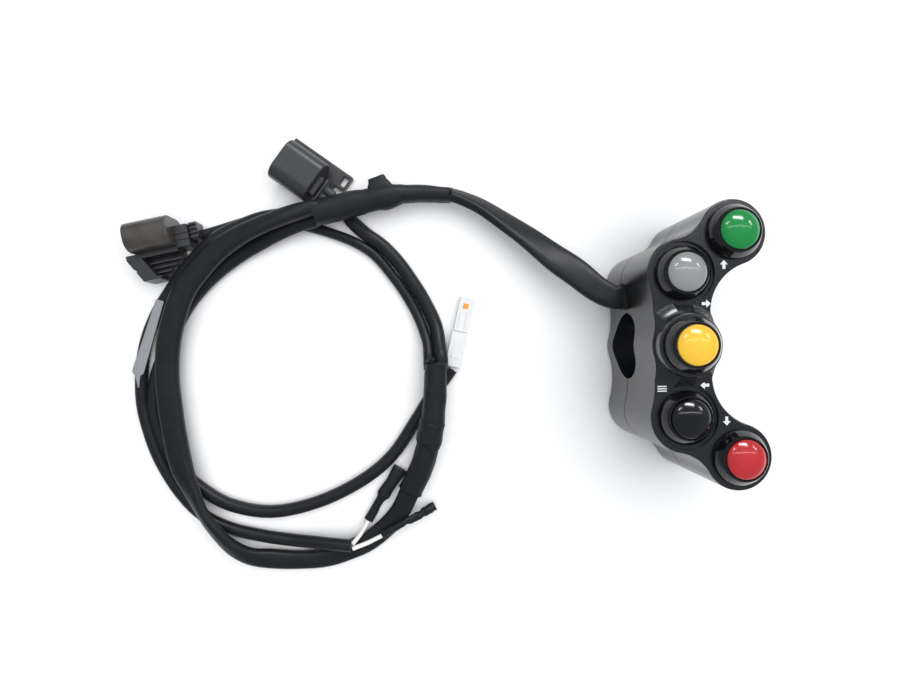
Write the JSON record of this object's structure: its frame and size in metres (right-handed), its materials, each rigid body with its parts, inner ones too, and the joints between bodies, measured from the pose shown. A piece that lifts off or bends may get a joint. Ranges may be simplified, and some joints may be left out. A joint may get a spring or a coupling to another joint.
{
  "type": "handlebar switch cluster",
  "caption": "Handlebar switch cluster: a split aluminium clamp housing with sprung domed push buttons and a branched wiring loom with sealed plugs.",
  "frame": {"origin": "on the axis of the handlebar bore, under the middle button", "axes": "+X along the bar towards the grip, +Z out of the button face, +Y across the bar"},
  "size_m": [0.2082, 0.1564, 0.056],
  "materials": {
    "housing": "satin black anodised",
    "bolt_steel": "black oxide",
    "rubber": "matte",
    "nut_plating": "nickel plated",
    "contact_brass": "bare",
    "bezel": "gloss black",
    "cap_green": "gloss",
    "cap_grey": "gloss",
    "cap_yellow": "gloss",
    "cap_black": "gloss",
    "cap_red": "gloss",
    "plunger": "matte",
    "spring_steel": "bare",
    "cup": "matte",
    "sleeve": "satin",
    "heat_shrink": "matte",
    "wire_white": "satin",
    "label": "satin silver-white",
    "plug_black": "fine texture",
    "plug_white": "satin",
    "plug_orange": "satin"
  },
  "bodies": {
    "housing": {"front_housing": "housing", "rear_housing": "housing", "clamp_bolts": "bolt_steel", "cable_grommet": "rubber", "bezel_gaskets": "rubber", "ring_nuts": "nut_plating", "terminal_pins": "contact_brass", "bezel_green": "bezel", "bezel_grey": "bezel", "bezel_yellow": "bezel", "bezel_black": "bezel", "bezel_red": "bezel", "spring_green": "spring_steel", "spring_grey": "spring_steel", "spring_yellow": "spring_steel", "spring_black": "spring_steel", "spring_red": "spring_steel", "contact_cup_green": "cup", "contact_cup_grey": "cup", "contact_cup_yellow": "cup", "contact_cup_black": "cup", "contact_cup_red": "cup", "trunk_sleeve": "sleeve", "trunk_shrink": "heat_shrink", "main_sleeve": "sleeve", "upper_cable": "sleeve", "lower_cable": "sleeve", "loop_shrink": "heat_shrink", "left_cable": "sleeve", "top_cable": "sleeve", "wire_1": "wire_white", "wire_2": "wire_white", "wire_boot_1": "heat_shrink", "wire_boot_2": "heat_shrink", "cable_label": "label", "left_plug_shell": "plug_black", "left_plug_lock": "plug_black", "left_plug_cap": "plug_black", "top_plug_shell": "plug_black", "top_plug_lock": "plug_black", "top_plug_cap": "plug_black", "white_plug": "plug_white", "white_plug_retainer": "plug_orange"},
    "button_green": {"cap_green": "cap_green", "plunger_green": "plunger", "bridge_green": "contact_brass"},
    "button_grey": {"cap_grey": "cap_grey", "plunger_grey": "plunger", "bridge_grey": "contact_brass"},
    "button_yellow": {"cap_yellow": "cap_yellow", "plunger_yellow": "plunger", "bridge_yellow": "contact_brass"},
    "button_black": {"cap_black": "cap_black", "plunger_black": "plunger", "bridge_black": "contact_brass"},
    "button_red": {"cap_red": "cap_red", "plunger_red": "plunger", "bridge_red": "contact_brass"}
  },
  "joints": [
    {"name": "press_green", "type": "slide", "parent": "housing", "child": "button_green", "axis": [0, 0, -1], "range_m": [0, 0.0015], "stiffness_N_per_m": 1500, "springref_m": -0.0005, "deforming": ["spring_green"]},
    {"name": "press_grey", "type": "slide", "parent": "housing", "child": "button_grey", "axis": [0, 0, -1], "range_m": [0, 0.0015], "stiffness_N_per_m": 1500, "springref_m": -0.0005, "deforming": ["spring_grey"]},
    {"name": "press_yellow", "type": "slide", "parent": "housing", "child": "button_yellow", "axis": [0, 0, -1], "range_m": [0, 0.0015], "stiffness_N_per_m": 1500, "springref_m": -0.0005, "deforming": ["spring_yellow"]},
    {"name": "press_black", "type": "slide", "parent": "housing", "child": "button_black", "axis": [0, 0, -1], "range_m": [0, 0.0015], "stiffness_N_per_m": 1500, "springref_m": -0.0005, "deforming": ["spring_black"]},
    {"name": "press_red", "type": "slide", "parent": "housing", "child": "button_red", "axis": [0, 0, -1], "range_m": [0, 0.0015], "stiffness_N_per_m": 1500, "springref_m": -0.0005, "deforming": ["spring_red"]}
  ]
}
